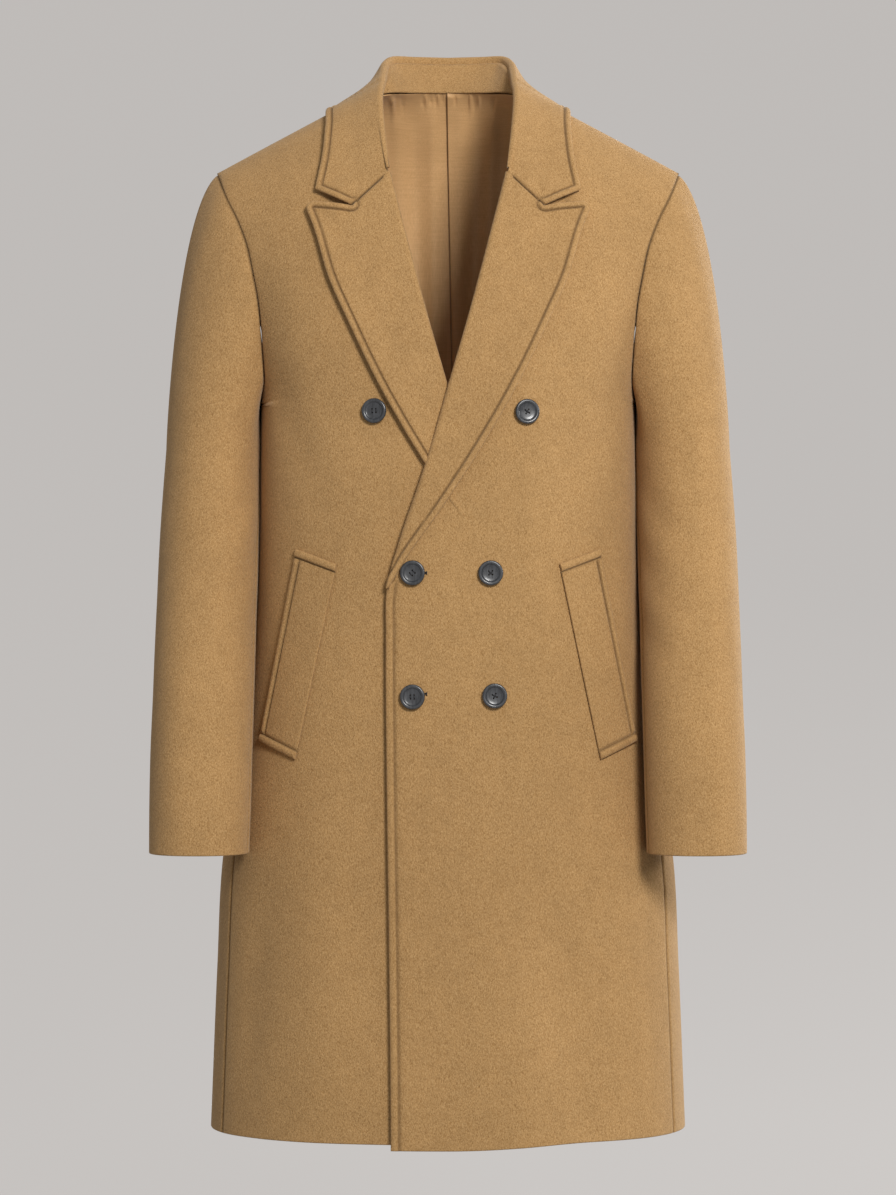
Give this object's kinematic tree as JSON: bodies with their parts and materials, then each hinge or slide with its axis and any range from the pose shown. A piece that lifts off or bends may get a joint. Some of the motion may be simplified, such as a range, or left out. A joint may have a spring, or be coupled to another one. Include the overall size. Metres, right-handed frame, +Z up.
{
  "type": "overcoat",
  "caption": "Knee-length double-breasted wool overcoat with peak lapels, slanted welt pockets and dark sew-through buttons, filled out as worn.",
  "frame": {"origin": "base of the neck on the centre line, level with the neck ends of the shoulder seams, where the wearer's neck and shoulders carry the coat", "axes": "+Z up, -Y is the way the front faces, +X is the wearer's left"},
  "size_m": [0.599, 0.3242, 1.1149],
  "materials": {
    "camel_wool": "camel melton wool with a short fuzzy nap and a faint mottle",
    "satin_lining": "smooth tan satin with a soft sheen",
    "dark_horn": "dark grey horn-like plastic with a polished rim and a satin middle"
  },
  "bodies": {
    "root": {"front_left": "camel_wool", "front_right": "camel_wool", "back": "camel_wool", "sleeve_left_upper": "camel_wool", "sleeve_left_under": "camel_wool", "sleeve_right_upper": "camel_wool", "sleeve_right_under": "camel_wool", "lapel_left": "camel_wool", "lapel_right": "camel_wool", "welt_left": "camel_wool", "welt_right": "camel_wool", "collar_fall": "camel_wool", "collar_stand": "camel_wool", "lining_back": "satin_lining", "button_top_left": "dark_horn", "button_top_right": "dark_horn", "button_middle_left": "dark_horn", "button_middle_right": "dark_horn", "button_low_left": "dark_horn", "button_low_right": "dark_horn"}
  },
  "joints": []
}
